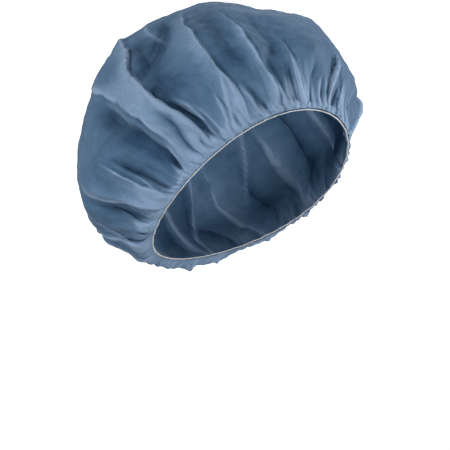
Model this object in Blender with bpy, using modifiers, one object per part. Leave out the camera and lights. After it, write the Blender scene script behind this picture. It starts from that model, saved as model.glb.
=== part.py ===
"""Disposable hairnet: a puffed cap of thin non-woven cloth, gathered at its rim by a fine white elastic.

Metres, +Z up. The origin is the centre of the rim, where the cap sits on a head. The front of the rim points
to -Y and the wearer's left to +X. The cap is tilted back, so its rim runs from the forehead down to the nape.

The crown is one sheet. Each of its points has an angle round the cap's axis, 0 at the front, 90 at +X and 180 at
the nape, and a cloth share, 0 at the rim and 1 at the apex. A short table of sections gives the smooth form. A
table of folds, one row for each, and a ring of gathers are raised on it along its normals.
"""
import math

import bmesh
import bpy
import numpy as np

# Rim: an egg-shaped loop, sizes measured in the rim's own tilted plane
RIM_HALF_WIDTH = 0.075
RIM_HALF_LENGTH = 0.097
RIM_EGG = 0.10          # share by which the loop is wider in front than behind
RIM_SAG = 0.011         # how far the loop dips over the ears
CAP_TILT = math.radians(36.5)

# Crown: reach of the puff from the cap's axis, and height of the apex over the rim
PUFF_HALF_WIDTH = 0.112
PUFF_FRONT = 0.115
PUFF_BACK = 0.130
CROWN_HEIGHT = 0.142
APEX_BACK = 0.008       # the apex lies this far behind the axis
CLOTH_WALL = 0.0012

# Folds: height of the tallest crest, its half width, and the most that neighbouring folds add up to
FOLD_DEPTH = 0.010
FOLD_WIDTH = 0.020
FOLD_LIMIT = 0.009
CREST_ROUNDNESS = 1.4   # 2 would be a round crest, 1 a sharp one
FOLD_RISE = 0.22        # share of a fold's length over which it rises
FOLD_FADE = 0.55        # share of its length from which it fades
LEADER_END = 0.28       # the cloth's columns follow each fold that reaches this cloth share

# Gathers: they start flat at the elastic, stand highest a little above it and die out upwards
GATHER_DEPTH = 0.0020
GATHER_COUNT = 34
GATHER_FULL = 0.045
GATHER_END = 0.24
GATHER_DRIFT = ((3, 0.060, 0.4), (5, 0.040, 2.1), (8, 0.022, 4.0))   # waves round the rim, size, phase

# Elastic under the crown's edge
ELASTIC_THICKNESS = 0.0014
EDGE_GAP = 0.0003

# Mesh: columns round the rim, halved twice on the way up, and rows from the rim to the apex
RIM_COLUMNS = 168
ROWS = 20
ROW_CROWDING = 1.45     # above 1, rows crowd towards the rim
HALVING_ROWS = (9, 16)
ELASTIC_POINTS = 84

# Smooth form. The heights over the rim's plane, in front and behind, are shares of CROWN_HEIGHT. A half size is
# rim times the rim's, plus a share of the puff's.
SECTIONS = (
    # cloth, front_height, back_height, rim, width, front, back
    (0.00, 0.000, 0.000, 1.00, 0.000, 0.000, 0.000),
    (0.05, 0.045, 0.005, 0.55, 0.335, 0.395, 0.420),
    (0.14, 0.165, 0.125, 0.20, 0.680, 0.757, 0.750),
    (0.28, 0.345, 0.315, 0.00, 0.990, 1.000, 1.000),
    (0.44, 0.560, 0.555, 0.00, 0.930, 0.950, 0.900),
    (0.60, 0.785, 0.785, 0.00, 0.768, 0.740, 0.740),
    (0.76, 0.955, 0.955, 0.00, 0.545, 0.480, 0.490),
    (0.89, 0.995, 0.995, 0.00, 0.286, 0.190, 0.260),
)

# Folds, long and short, in order round the rim. The crest runs through three angles in degrees, at its start, mid
# length and end, over the given span of cloth shares. height is a share of FOLD_DEPTH, below 0 for a valley. The
# half widths at both ends are shares of FOLD_WIDTH. lean is above 0 where the flank towards larger angles is steep.
FOLDS = (
    # start_angle, mid_angle, end_angle, start, end, height, start_width, end_width, lean
    (-160, -166, -176, 0.02, 0.36, -0.50, 0.22, 0.55, 0.00),
    (-147, -155, -168, 0.01, 0.44, 0.40, 0.25, 0.70, 0.30),
    (-129, -139, -151, 0.01, 0.30, 0.45, 0.22, 0.50, -0.30),
    (-121, -131, -142, 0.02, 0.26, -0.50, 0.18, 0.40, 0.00),
    (-116, -126, -136, 0.01, 0.29, 0.50, 0.18, 0.50, -0.50),
    (-102, -115, -123, 0.02, 0.40, -0.80, 0.15, 0.42, 0.00),
    (-97, -112, -118, 0.01, 0.52, 0.95, 0.18, 0.65, -0.60),
    (-86, -92, -95, 0.01, 0.27, 0.45, 0.14, 0.36, -0.20),
    (-82, -88, -93, 0.02, 0.27, -0.45, 0.12, 0.26, 0.00),
    (-73, -79, -105, 0.02, 0.62, -0.85, 0.18, 0.80, 0.30),
    (-69, -77, -101, 0.01, 0.76, 0.85, 0.22, 1.00, -0.40),
    (-62, -64, -65, 0.02, 0.26, -0.35, 0.12, 0.25, 0.00),
    (-58, -57, -59, 0.01, 0.22, 0.30, 0.14, 0.25, 0.00),
    (-52, -68, -76, 0.01, 0.88, 0.95, 0.20, 1.00, 0.40),
    (-49, -55, -62, 0.03, 0.37, -0.80, 0.14, 0.42, 0.00),
    (-46, -51, -57, 0.01, 0.26, 0.45, 0.16, 0.40, -0.50),
    (-41, -40, -37, 0.01, 0.26, 0.30, 0.14, 0.30, 0.00),
    (-33, -37, -30, 0.01, 0.75, 0.70, 0.20, 1.00, 0.45),
    (-28, -31, -34, 0.01, 0.22, 0.25, 0.12, 0.22, 0.20),
    (-23, -28, -32, 0.02, 0.22, -0.40, 0.12, 0.25, 0.00),
    (-15, -19, -20, 0.01, 0.54, 0.50, 0.18, 0.75, 0.40),
    (-9, -9, -8, 0.03, 0.24, -0.35, 0.12, 0.22, 0.00),
    (-4, -4, -7, 0.01, 0.44, 0.40, 0.16, 0.55, 0.30),
    (-2, 3, 7, 0.02, 0.26, -0.35, 0.12, 0.25, 0.00),
    (5, 9, 12, 0.01, 0.26, 0.25, 0.14, 0.30, 0.00),
    (13, 21, 22, 0.01, 0.42, 0.40, 0.16, 0.50, 0.00),
    (17, 23, 27, 0.02, 0.26, -0.25, 0.12, 0.22, 0.00),
    (24, 29, 35, 0.01, 0.32, 0.30, 0.18, 0.45, 0.00),
    (37, 39, 44, 0.01, 0.36, 0.50, 0.20, 0.55, 0.20),
    (47, 49, 54, 0.02, 0.30, -0.85, 0.18, 0.35, 0.00),
    (57, 59, 64, 0.10, 0.62, 0.65, 0.22, 0.90, -0.40),
    (70, 73, 80, 0.02, 0.46, -0.70, 0.20, 0.60, 0.20),
    (80, 86, 88, 0.01, 0.66, 0.75, 0.25, 1.00, 0.35),
    (92, 95, 98, 0.02, 0.44, -0.60, 0.20, 0.55, 0.00),
    (101, 106, 114, 0.01, 0.40, 0.60, 0.22, 0.70, 0.50),
    (110, 117, 126, 0.03, 0.34, -0.55, 0.20, 0.45, 0.00),
    (121, 130, 143, 0.01, 0.36, 0.55, 0.22, 0.60, 0.40),
    (133, 142, 154, 0.02, 0.30, -0.50, 0.20, 0.40, 0.00),
    (148, 156, 166, 0.01, 0.46, 0.60, 0.25, 0.80, -0.30),
    (166, 170, 176, 0.01, 0.34, 0.50, 0.22, 0.55, 0.20),
)

# Broad folds and dents on the top of the puff, with the same columns
TOP_FOLDS = (
    (-165, -152, -140, 0.40, 0.88, 0.35, 0.80, 0.90, 0.00),
    (-122, -112, -100, 0.42, 0.90, -0.40, 0.70, 0.80, 0.00),
    (-78, -84, -88, 0.40, 0.82, -0.45, 0.35, 0.60, 0.00),
    (-64, -50, -41, 0.38, 0.72, -0.50, 0.30, 0.45, -0.30),
    (22, 30, 36, 0.40, 0.90, 0.30, 0.70, 0.80, 0.00),
    (64, 54, 40, 0.48, 0.92, -0.35, 0.70, 0.80, 0.00),
    (102, 96, 84, 0.46, 0.92, -0.35, 0.60, 0.90, 0.20),
    (146, 158, 166, 0.44, 0.92, 0.40, 0.80, 0.80, 0.00),
)


def smooth_step(low, high, value):
    """0 below low and 1 above high, with a level start and end."""
    share = np.clip((value - low) / (high - low), 0.0, 1.0)
    return share * share * (3.0 - 2.0 * share)


def smooth_curve(places, values, at):
    """A curve through the given values that never swings past them (monotone cubic pieces)."""
    places = np.asarray(places)
    values = np.asarray(values)
    run = np.diff(places)
    slope = np.diff(values) / run
    tangent = np.zeros(len(values))
    inner = slope[:-1] * slope[1:] > 0.0
    weight = run[:-1] + 2.0 * run[1:]
    weight_next = 2.0 * run[:-1] + run[1:]
    for i in np.nonzero(inner)[0]:
        pull = weight[i] / slope[i] + weight_next[i] / slope[i + 1]
        tangent[i + 1] = (weight[i] + weight_next[i]) / pull
    tangent[0] = slope[0]
    tangent[-1] = slope[-1]
    piece = np.clip(np.searchsorted(places, at, side="right") - 1, 0, len(run) - 1)
    length = run[piece]
    t = (at - places[piece]) / length
    return (
        values[piece] * (1 + 2 * t) * (1 - t) ** 2
        + tangent[piece] * length * t * (1 - t) ** 2
        + values[piece + 1] * t * t * (3 - 2 * t)
        + tangent[piece + 1] * length * t * t * (t - 1)
    )


def unit(vectors):
    """Each vector at length 1."""
    return vectors / np.maximum(np.linalg.norm(vectors, axis=-1, keepdims=True), 1e-12)


def half_sizes(cloth):
    """Heights over the rim's plane, in front and behind, and reaches to the side, front and back."""
    share, front_height, back_height, rim, width, front, back = np.array(SECTIONS).T
    share = np.append(share, 1.0)
    front_height = np.append(front_height, 1.0) * CROWN_HEIGHT
    back_height = np.append(back_height, 1.0) * CROWN_HEIGHT
    width = np.append(rim * RIM_HALF_WIDTH + width * PUFF_HALF_WIDTH, 0.0)
    front = np.append(rim * RIM_HALF_LENGTH + front * PUFF_FRONT, -APEX_BACK)
    back = np.append(rim * RIM_HALF_LENGTH + back * PUFF_BACK, APEX_BACK)
    columns = (front_height, back_height, width, front, back)
    return [smooth_curve(share, column, cloth) for column in columns]


def smooth_form(angle, cloth):
    """Points of the crown without folds. angle in radians and cloth are arrays of one shape."""
    front_height, back_height, width, front, back = half_sizes(cloth)
    height = 0.5 * (front_height + back_height) + 0.5 * (front_height - back_height) * np.cos(angle)
    rim_hold = (1.0 - cloth) ** 2
    side = width * np.sin(angle) * (1.0 + RIM_EGG * rim_hold * np.cos(angle))
    rearward = 0.5 * (back - front) - 0.5 * (back + front) * np.cos(angle)
    upward = height - RIM_SAG * rim_hold * np.sin(angle) ** 2
    y = rearward * math.cos(CAP_TILT) + upward * math.sin(CAP_TILT)
    z = upward * math.cos(CAP_TILT) - rearward * math.sin(CAP_TILT)
    return np.stack([side, y, z], axis=-1)


def outward_normals(angle, cloth):
    """Unit normals of the smooth form, by small steps along both parameters."""
    step = 1e-4
    low = np.clip(cloth - step, 0.0, 1.0 - 2.0 * step)
    round_step = smooth_form(angle + step, cloth) - smooth_form(angle - step, cloth)
    rise_step = smooth_form(angle, low + 2.0 * step) - smooth_form(angle, low)
    return unit(np.cross(round_step, rise_step))


def crest_angle(row, cloth):
    """Angle of a fold's crest at a cloth share. Past either end it stays as it is there."""
    first, middle, last = np.radians(row[:3])
    along = np.clip((cloth - row[3]) / (row[4] - row[3]), 0.0, 1.0)
    return (
        first * (1 - along) * (1 - 2 * along)
        + middle * 4 * along * (1 - along)
        + last * along * (2 * along - 1)
    )


def turned_by_folds(rim_angle, cloth):
    """Angle at which a column that starts at rim_angle passes a cloth share: columns run along the long folds."""
    leaders = [row for row in FOLDS if row[4] >= LEADER_END]
    starts = np.radians([row[0] for row in leaders])
    turns = np.stack([crest_angle(row, cloth) - start for row, start in zip(leaders, starts)])
    place = (rim_angle - starts[0]) % (2 * math.pi)
    offsets = np.append(starts - starts[0], 2 * math.pi)
    before = np.clip(np.searchsorted(offsets, place, side="right") - 1, 0, len(leaders) - 1)
    after = (before + 1) % len(leaders)
    share = (place - offsets[before]) / (offsets[before + 1] - offsets[before])
    point = np.arange(len(rim_angle))
    return rim_angle + turns[before, point] * (1 - share) + turns[after, point] * share


def fold_height(angle, cloth):
    """Sum of the folds at each point, in metres along the normal."""
    _, _, width, front, back = half_sizes(cloth)
    radius = 0.5 * width + 0.25 * (front + back)
    total = np.zeros_like(cloth)
    for row in FOLDS + TOP_FOLDS:
        start, end, height, start_width, end_width, lean = row[3:]
        along = np.clip((cloth - start) / (end - start), 0.0, 1.0)
        away = (angle - crest_angle(row, cloth) + math.pi) % (2 * math.pi) - math.pi
        half_width = FOLD_WIDTH * (start_width + (end_width - start_width) * along)
        across = np.abs(away) * radius / (half_width * (1.0 - lean * np.sign(away)))
        rise = smooth_step(0.0, FOLD_RISE, along) * (1.0 - smooth_step(FOLD_FADE, 1.0, along))
        total += FOLD_DEPTH * height * rise * np.exp(-(across ** CREST_ROUNDNESS))
    return FOLD_LIMIT * np.tanh(total / FOLD_LIMIT)


def gather_height(rim_angle, cloth):
    """Ripples round the rim, unevenly spaced and of uneven length, in metres along the normal."""
    drift = sum(size * np.sin(waves * rim_angle + phase) for waves, size, phase in GATHER_DRIFT)
    length = 0.75 + 0.25 * np.sin(7 * rim_angle + 1.3) * np.cos(4 * rim_angle + 0.2)
    fade = 1.0 - smooth_step(GATHER_FULL, GATHER_END * length, cloth)
    swell = smooth_step(0.0, GATHER_FULL, cloth) * fade
    return GATHER_DEPTH * swell * np.cos(GATHER_COUNT * (rim_angle + drift))


def crown_points(rim_angle, cloth):
    """Points of the crown's outer face."""
    angle = turned_by_folds(rim_angle, cloth)
    lift = fold_height(angle, cloth) + gather_height(rim_angle, cloth)
    return smooth_form(angle, cloth) + outward_normals(angle, cloth) * lift[:, None]


def rim_loop(count):
    """Angles of evenly numbered points round the rim."""
    return np.radians(np.arange(count) * 360.0 / count)


def row_share(row):
    """Cloth share of a row of the crown's mesh."""
    return (row / ROWS) ** ROW_CROWDING


def join_rings(mesh, lower, upper):
    """Faces between two rings, the upper one with as many points or half as many."""
    count = len(lower)
    if len(upper) == count:
        for i in range(count):
            following = (i + 1) % count
            mesh.faces.new((lower[i], lower[following], upper[following], upper[i]))
        return
    for i in range(len(upper)):
        following = (i + 1) % len(upper)
        mesh.faces.new((lower[2 * i], lower[2 * i + 1], upper[i]))
        mesh.faces.new((lower[2 * i + 1], upper[following], upper[i]))
        mesh.faces.new((lower[2 * i + 1], lower[(2 * i + 2) % count], upper[following]))


def build_crown(collection, material):
    """The gathered cloth: rings of points from the rim to the apex, given its wall by Solidify."""
    mesh = bmesh.new()
    count = RIM_COLUMNS
    previous = None
    for row in range(ROWS):
        if row in HALVING_ROWS:
            count //= 2
        points = crown_points(rim_loop(count), np.full(count, row_share(row)))
        ring = [mesh.verts.new(point) for point in points]
        if previous:
            join_rings(mesh, previous, ring)
        previous = ring
    apex = mesh.verts.new(smooth_form(np.zeros(1), np.ones(1))[0])
    for i in range(count):
        mesh.faces.new((previous[i], previous[(i + 1) % count], apex))
    bmesh.ops.triangulate(mesh, faces=mesh.faces[:], quad_method="BEAUTY")
    data = bpy.data.meshes.new("crown")
    mesh.to_mesh(data)
    mesh.free()
    data.shade_smooth()
    crown = bpy.data.objects.new("crown", data)
    collection.objects.link(crown)
    data.materials.append(material)
    wall = crown.modifiers.new("cloth wall", "SOLIDIFY")
    wall.thickness = CLOTH_WALL
    wall.offset = -1.0
    return crown


def build_elastic(collection, material):
    """The elastic: a closed round cord that follows the rim, a small gap under the crown's edge."""
    angle = rim_loop(ELASTIC_POINTS)
    edge = crown_points(angle, np.zeros(ELASTIC_POINTS))
    rise = crown_points(angle, np.full(ELASTIC_POINTS, row_share(1))) - edge
    along = unit(np.roll(edge, -1, axis=0) - np.roll(edge, 1, axis=0))
    inward = unit(np.cross(rise, along))
    upward = np.cross(along, inward)
    drop = 0.5 * ELASTIC_THICKNESS + EDGE_GAP
    centre = edge - upward * drop + inward * 0.5 * CLOTH_WALL
    curve = bpy.data.curves.new("elastic_band", "CURVE")
    curve.dimensions = "3D"
    curve.bevel_depth = 0.5 * ELASTIC_THICKNESS
    curve.bevel_resolution = 2
    spline = curve.splines.new("POLY")
    spline.points.add(ELASTIC_POINTS - 1)
    for point, place in zip(spline.points, centre):
        point.co = (*place, 1.0)
    spline.use_cyclic_u = True
    spline.use_smooth = True
    curve.materials.append(material)
    elastic = bpy.data.objects.new("elastic_band", curve)
    collection.objects.link(elastic)
    return elastic


def plain_material(name, colour, roughness):
    """A non-metal surface of one colour."""
    material = bpy.data.materials.new(name)
    material.use_nodes = True
    shader = material.node_tree.nodes["Principled BSDF"]
    shader.inputs["Base Color"].default_value = (*colour, 1.0)
    shader.inputs["Roughness"].default_value = roughness
    shader.inputs["Metallic"].default_value = 0.0
    material.diffuse_color = (*colour, 1.0)
    return material


def main():
    """Clear the file's objects and build the hairnet in a collection of its own."""
    for old in list(bpy.data.objects):
        bpy.data.objects.remove(old, do_unlink=True)
    collection = bpy.data.collections.new("disposable_hairnet")
    bpy.context.scene.collection.children.link(collection)
    build_crown(collection, plain_material("blue non-woven", (0.110, 0.190, 0.300), 0.75))
    build_elastic(collection, plain_material("white elastic", (0.800, 0.790, 0.770), 0.60))


main()
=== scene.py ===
"""Looks of the disposable hairnet: the gathered non-woven cloth, its white elastic and its edge stitching.

Metres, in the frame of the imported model: +Z up, the front of the rim towards -Y. The crown's surface comes
from the same sizes and tables as the solid model's, on a finer mesh, with the sharp crests, small gathers,
creases and crumpling of a thin cloth added to it.
"""
import math

import bmesh
import bpy
import numpy as np
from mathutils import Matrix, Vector, noise


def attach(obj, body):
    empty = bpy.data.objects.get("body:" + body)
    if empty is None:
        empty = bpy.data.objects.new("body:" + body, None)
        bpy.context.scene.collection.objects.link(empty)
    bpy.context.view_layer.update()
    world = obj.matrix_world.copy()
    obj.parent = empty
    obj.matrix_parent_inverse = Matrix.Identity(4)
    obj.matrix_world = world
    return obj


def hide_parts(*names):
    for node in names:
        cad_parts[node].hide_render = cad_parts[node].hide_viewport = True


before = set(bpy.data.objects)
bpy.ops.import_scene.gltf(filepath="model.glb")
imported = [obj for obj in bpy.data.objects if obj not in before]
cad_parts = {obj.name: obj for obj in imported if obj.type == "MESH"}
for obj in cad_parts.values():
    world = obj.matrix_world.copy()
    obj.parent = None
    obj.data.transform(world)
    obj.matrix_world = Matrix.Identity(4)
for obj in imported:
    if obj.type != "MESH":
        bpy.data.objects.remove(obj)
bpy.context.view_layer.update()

# Rim: an egg-shaped loop, sizes measured in the rim's own tilted plane
RIM_HALF_WIDTH = 0.075
RIM_HALF_LENGTH = 0.097
RIM_EGG = 0.10          # share by which the loop is wider in front than behind
RIM_SAG = 0.011         # how far the loop dips at its sides
CAP_TILT = math.radians(36.5)

# Crown: reach of the puff from the cap's axis, and height of the apex over the rim
PUFF_HALF_WIDTH = 0.112
PUFF_FRONT = 0.115
PUFF_BACK = 0.130
CROWN_HEIGHT = 0.142
APEX_BACK = 0.008       # the apex lies this far behind the axis
CLOTH_WALL = 0.0012

# Folds: height of the tallest crest, its half width, and the most that neighbouring folds add up to
FOLD_DEPTH = 0.010
FOLD_WIDTH = 0.020
FOLD_LIMIT = 0.009
CREST_ROUNDNESS = 1.4   # 2 would be a round crest, 1 a sharp one
FOLD_RISE = 0.22        # share of a fold's length over which it rises
FOLD_FADE = 0.55        # share of its length from which it fades
LEADER_END = 0.28       # the cloth's columns follow each fold that reaches this cloth share

# Gathers: they start flat at the elastic, stand highest a little above it and die out upwards
GATHER_DEPTH = 0.0020
GATHER_COUNT = 34
GATHER_FULL = 0.045
GATHER_END = 0.24
GATHER_MEAN = 0.75      # mean of their lengths and how far it varies, as shares of GATHER_END
GATHER_VARY = 0.25
GATHER_DRIFT = ((3, 0.060, 0.4), (5, 0.040, 2.1), (8, 0.022, 4.0))   # waves round the rim, size, phase

# Elastic under the crown's edge
ELASTIC_THICKNESS = 0.0014
EDGE_GAP = 0.0003

# Smooth form. The heights over the rim's plane, in front and behind, are shares of CROWN_HEIGHT. A half size
# is rim times the rim's, plus a share of the puff's.
SECTIONS = (
    # cloth, front_height, back_height, rim, width, front, back
    (0.00, 0.000, 0.000, 1.00, 0.000, 0.000, 0.000),
    (0.05, 0.045, 0.005, 0.55, 0.335, 0.395, 0.420),
    (0.14, 0.165, 0.125, 0.20, 0.680, 0.757, 0.750),
    (0.28, 0.345, 0.315, 0.00, 0.990, 1.000, 1.000),
    (0.44, 0.560, 0.555, 0.00, 0.930, 0.950, 0.900),
    (0.60, 0.785, 0.785, 0.00, 0.768, 0.740, 0.740),
    (0.76, 0.955, 0.955, 0.00, 0.545, 0.480, 0.490),
    (0.89, 0.995, 0.995, 0.00, 0.286, 0.190, 0.260),
)

# Folds, long and short, in order round the rim. The crest runs through three angles in degrees, at its
# start, mid length and end, over the given span of cloth shares. height is a share of FOLD_DEPTH, below 0
# for a valley. The half widths at both ends are shares of FOLD_WIDTH. lean is above 0 where the flank
# towards larger angles is steep.
FOLDS = (
    # start_angle, mid_angle, end_angle, start, end, height, start_width, end_width, lean
    (-160, -166, -176, 0.02, 0.36, -0.50, 0.22, 0.55, 0.00),
    (-147, -155, -168, 0.01, 0.44, 0.40, 0.25, 0.70, 0.30),
    (-129, -139, -151, 0.01, 0.30, 0.45, 0.22, 0.50, -0.30),
    (-121, -131, -142, 0.02, 0.26, -0.50, 0.18, 0.40, 0.00),
    (-116, -126, -136, 0.01, 0.29, 0.50, 0.18, 0.50, -0.50),
    (-102, -115, -123, 0.02, 0.40, -0.80, 0.15, 0.42, 0.00),
    (-97, -112, -118, 0.01, 0.52, 0.95, 0.18, 0.65, -0.60),
    (-86, -92, -95, 0.01, 0.27, 0.45, 0.14, 0.36, -0.20),
    (-82, -88, -93, 0.02, 0.27, -0.45, 0.12, 0.26, 0.00),
    (-73, -79, -105, 0.02, 0.62, -0.85, 0.18, 0.80, 0.30),
    (-69, -77, -101, 0.01, 0.76, 0.85, 0.22, 1.00, -0.40),
    (-62, -64, -65, 0.02, 0.26, -0.35, 0.12, 0.25, 0.00),
    (-58, -57, -59, 0.01, 0.22, 0.30, 0.14, 0.25, 0.00),
    (-52, -68, -76, 0.01, 0.88, 0.95, 0.20, 1.00, 0.40),
    (-49, -55, -62, 0.03, 0.37, -0.80, 0.14, 0.42, 0.00),
    (-46, -51, -57, 0.01, 0.26, 0.45, 0.16, 0.40, -0.50),
    (-41, -40, -37, 0.01, 0.26, 0.30, 0.14, 0.30, 0.00),
    (-33, -37, -30, 0.01, 0.75, 0.70, 0.20, 1.00, 0.45),
    (-28, -31, -34, 0.01, 0.22, 0.25, 0.12, 0.22, 0.20),
    (-23, -28, -32, 0.02, 0.22, -0.40, 0.12, 0.25, 0.00),
    (-15, -19, -20, 0.01, 0.54, 0.50, 0.18, 0.75, 0.40),
    (-9, -9, -8, 0.03, 0.24, -0.35, 0.12, 0.22, 0.00),
    (-4, -4, -7, 0.01, 0.44, 0.40, 0.16, 0.55, 0.30),
    (-2, 3, 7, 0.02, 0.26, -0.35, 0.12, 0.25, 0.00),
    (5, 9, 12, 0.01, 0.26, 0.25, 0.14, 0.30, 0.00),
    (13, 21, 22, 0.01, 0.42, 0.40, 0.16, 0.50, 0.00),
    (17, 23, 27, 0.02, 0.26, -0.25, 0.12, 0.22, 0.00),
    (24, 29, 35, 0.01, 0.32, 0.30, 0.18, 0.45, 0.00),
    (37, 39, 44, 0.01, 0.36, 0.50, 0.20, 0.55, 0.20),
    (47, 49, 54, 0.02, 0.30, -0.85, 0.18, 0.35, 0.00),
    (57, 59, 64, 0.10, 0.62, 0.65, 0.22, 0.90, -0.40),
    (70, 73, 80, 0.02, 0.46, -0.70, 0.20, 0.60, 0.20),
    (80, 86, 88, 0.01, 0.66, 0.75, 0.25, 1.00, 0.35),
    (92, 95, 98, 0.02, 0.44, -0.60, 0.20, 0.55, 0.00),
    (101, 106, 114, 0.01, 0.40, 0.60, 0.22, 0.70, 0.50),
    (110, 117, 126, 0.03, 0.34, -0.55, 0.20, 0.45, 0.00),
    (121, 130, 143, 0.01, 0.36, 0.55, 0.22, 0.60, 0.40),
    (133, 142, 154, 0.02, 0.30, -0.50, 0.20, 0.40, 0.00),
    (148, 156, 166, 0.01, 0.46, 0.60, 0.25, 0.80, -0.30),
    (166, 170, 176, 0.01, 0.34, 0.50, 0.22, 0.55, 0.20),
)

# Broad folds and dents on the top of the puff, with the same columns
TOP_FOLDS = (
    (-165, -152, -140, 0.40, 0.88, 0.35, 0.80, 0.90, 0.00),
    (-122, -112, -100, 0.42, 0.90, -0.40, 0.70, 0.80, 0.00),
    (-78, -84, -88, 0.40, 0.82, -0.45, 0.35, 0.60, 0.00),
    (-64, -50, -41, 0.38, 0.72, -0.50, 0.30, 0.45, -0.30),
    (22, 30, 36, 0.40, 0.90, 0.30, 0.70, 0.80, 0.00),
    (64, 54, 40, 0.48, 0.92, -0.35, 0.70, 0.80, 0.00),
    (102, 96, 84, 0.46, 0.92, -0.35, 0.60, 0.90, 0.20),
    (146, 158, 166, 0.44, 0.92, 0.40, 0.80, 0.80, 0.00),
)


def smooth_step(low, high, value):
    """0 below low and 1 above high, with a level start and end."""
    share = np.clip((value - low) / (high - low), 0.0, 1.0)
    return share * share * (3.0 - 2.0 * share)


def smooth_curve(places, values, at):
    """A curve through the given values that never swings past them (monotone cubic pieces)."""
    places = np.asarray(places)
    values = np.asarray(values)
    run = np.diff(places)
    slope = np.diff(values) / run
    tangent = np.zeros(len(values))
    inner = slope[:-1] * slope[1:] > 0.0
    weight = run[:-1] + 2.0 * run[1:]
    weight_next = 2.0 * run[:-1] + run[1:]
    for i in np.nonzero(inner)[0]:
        pull = weight[i] / slope[i] + weight_next[i] / slope[i + 1]
        tangent[i + 1] = (weight[i] + weight_next[i]) / pull
    tangent[0] = slope[0]
    tangent[-1] = slope[-1]
    piece = np.clip(np.searchsorted(places, at, side="right") - 1, 0, len(run) - 1)
    length = run[piece]
    t = (at - places[piece]) / length
    return (
        values[piece] * (1 + 2 * t) * (1 - t) ** 2
        + tangent[piece] * length * t * (1 - t) ** 2
        + values[piece + 1] * t * t * (3 - 2 * t)
        + tangent[piece + 1] * length * t * t * (t - 1)
    )


def unit(vectors):
    """Each vector at length 1."""
    return vectors / np.maximum(np.linalg.norm(vectors, axis=-1, keepdims=True), 1e-12)


def half_sizes(cloth):
    """Heights over the rim's plane, in front and behind, and reaches to the side, front and back."""
    share, front_height, back_height, rim, width, front, back = np.array(SECTIONS).T
    share = np.append(share, 1.0)
    front_height = np.append(front_height, 1.0) * CROWN_HEIGHT
    back_height = np.append(back_height, 1.0) * CROWN_HEIGHT
    width = np.append(rim * RIM_HALF_WIDTH + width * PUFF_HALF_WIDTH, 0.0)
    front = np.append(rim * RIM_HALF_LENGTH + front * PUFF_FRONT, -APEX_BACK)
    back = np.append(rim * RIM_HALF_LENGTH + back * PUFF_BACK, APEX_BACK)
    columns = (front_height, back_height, width, front, back)
    return [smooth_curve(share, column, cloth) for column in columns]


def smooth_form(angle, cloth):
    """Points of the crown without folds. angle in radians and cloth are arrays of one shape."""
    front_height, back_height, width, front, back = half_sizes(cloth)
    height = 0.5 * (front_height + back_height) + 0.5 * (front_height - back_height) * np.cos(angle)
    rim_hold = (1.0 - cloth) ** 2
    side = width * np.sin(angle) * (1.0 + RIM_EGG * rim_hold * np.cos(angle))
    rearward = 0.5 * (back - front) - 0.5 * (back + front) * np.cos(angle)
    upward = height - RIM_SAG * rim_hold * np.sin(angle) ** 2
    y = rearward * math.cos(CAP_TILT) + upward * math.sin(CAP_TILT)
    z = upward * math.cos(CAP_TILT) - rearward * math.sin(CAP_TILT)
    return np.stack([side, y, z], axis=-1)


def outward_normals(angle, cloth):
    """Unit normals of the smooth form, by small steps along both parameters."""
    step = 1e-4
    low = np.clip(cloth - step, 0.0, 1.0 - 2.0 * step)
    round_step = smooth_form(angle + step, cloth) - smooth_form(angle - step, cloth)
    rise_step = smooth_form(angle, low + 2.0 * step) - smooth_form(angle, low)
    return unit(np.cross(round_step, rise_step))


def crest_angle(row, cloth):
    """Angle of a fold's crest at a cloth share. Past either end it stays as it is there."""
    first, middle, last = np.radians(row[:3])
    along = np.clip((cloth - row[3]) / (row[4] - row[3]), 0.0, 1.0)
    return (
        first * (1 - along) * (1 - 2 * along)
        + middle * 4 * along * (1 - along)
        + last * along * (2 * along - 1)
    )


def turned_by_folds(rim_angle, cloth):
    """Angle at which a column that starts at rim_angle passes a cloth share. It runs along the long folds."""
    leaders = [row for row in FOLDS if row[4] >= LEADER_END]
    starts = np.radians([row[0] for row in leaders])
    turns = np.stack([crest_angle(row, cloth) - start for row, start in zip(leaders, starts)])
    place = (rim_angle - starts[0]) % (2 * math.pi)
    offsets = np.append(starts - starts[0], 2 * math.pi)
    before = np.clip(np.searchsorted(offsets, place, side="right") - 1, 0, len(leaders) - 1)
    after = (before + 1) % len(leaders)
    share = (place - offsets[before]) / (offsets[before + 1] - offsets[before])
    point = np.arange(len(rim_angle))
    return rim_angle + turns[before, point] * (1 - share) + turns[after, point] * share


def mean_radius(cloth):
    """Mean distance of the smooth form from its middle line."""
    _, _, width, front, back = half_sizes(cloth)
    return 0.5 * width + 0.25 * (front + back)


def fold_shape(angle, cloth, folds, roundness):
    """Sum of the folds at each point: height along the normal, and slide round the cap where crests lean."""
    radius = mean_radius(cloth)
    total = np.zeros_like(cloth)
    slide = np.zeros_like(cloth)
    for row in folds:
        start, end, height, start_width, end_width, lean = row[3:]
        along = np.clip((cloth - start) / (end - start), 0.0, 1.0)
        away = (angle - crest_angle(row, cloth) + math.pi) % (2 * math.pi) - math.pi
        half_width = FOLD_WIDTH * (start_width + (end_width - start_width) * along)
        across = np.abs(away) * radius / (half_width * (1.0 - lean * np.sign(away)))
        rise = smooth_step(0.0, FOLD_RISE, along) * (1.0 - smooth_step(FOLD_FADE, 1.0, along))
        raised = FOLD_DEPTH * height * rise * np.exp(-(across ** roundness))
        total += raised
        slide += LEAN_SLIDE * lean * np.abs(raised)
    return FOLD_LIMIT * np.tanh(total / FOLD_LIMIT), slide / radius


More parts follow.
